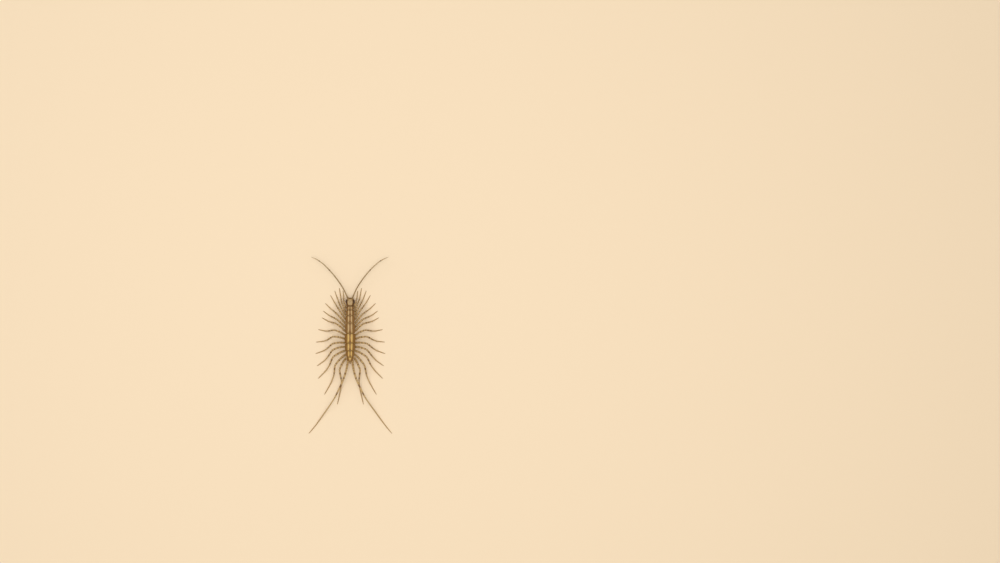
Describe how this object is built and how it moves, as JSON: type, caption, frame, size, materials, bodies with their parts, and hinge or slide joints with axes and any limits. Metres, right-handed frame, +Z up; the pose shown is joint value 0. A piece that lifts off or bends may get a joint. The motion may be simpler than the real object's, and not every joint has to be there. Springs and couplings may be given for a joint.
{
  "type": "house centipede",
  "caption": "Life-size house centipede standing on long fanned legs, with plated back, large eyes, long feelers and trailing last legs.",
  "frame": {"origin": "on the floor, below the middle of the whole animal's box, feelers and last legs included", "axes": "+Y the way the head points, +X the animal's right side, +Z up; the feet stand on z = 0"},
  "size_m": [0.0474, 0.1001, 0.0096],
  "materials": {
    "shell": "satin",
    "flank": "matte",
    "limb": "satin",
    "feeler": "satin",
    "eye": "glossy",
    "jaw": "satin"
  },
  "bodies": {
    "root": {"trunk_front": "flank", "trunk_middle": "flank", "trunk_rear": "flank", "tail": "flank", "back_plate_1": "shell", "back_plate_2": "shell", "back_plate_3": "shell", "back_plate_4": "shell", "back_plate_5": "shell", "back_plate_6": "shell", "back_plate_7": "shell", "back_plate_8": "shell", "eye_left": "eye", "eye_right": "eye", "head": "shell", "feeler_base_left": "feeler", "feeler_shaft_left": "feeler", "feeler_whip_left": "feeler", "feeler_base_right": "feeler", "feeler_shaft_right": "feeler", "feeler_whip_right": "feeler", "mouthparts": "jaw", "palp_left": "limb", "venom_claw_left": "jaw", "palp_right": "limb", "venom_claw_right": "jaw", "leg_1_left": "limb", "leg_1_right": "limb", "leg_2_left": "limb", "leg_2_right": "limb", "leg_3_left": "limb", "leg_3_right": "limb", "leg_4_left": "limb", "leg_4_right": "limb", "leg_5_left": "limb", "leg_5_right": "limb", "leg_6_left": "limb", "leg_6_right": "limb", "leg_7_left": "limb", "leg_7_right": "limb", "leg_8_left": "limb", "leg_8_right": "limb", "leg_9_left": "limb", "leg_9_right": "limb", "leg_10_left": "limb", "leg_10_right": "limb", "leg_11_left": "limb", "leg_11_right": "limb", "leg_12_left": "limb", "leg_12_right": "limb", "leg_13_left": "limb", "leg_13_right": "limb", "leg_14_left": "limb", "leg_14_right": "limb", "leg_15_left": "limb", "leg_15_left_foot": "limb", "leg_15_right": "limb", "leg_15_right_foot": "limb"}
  },
  "joints": []
}
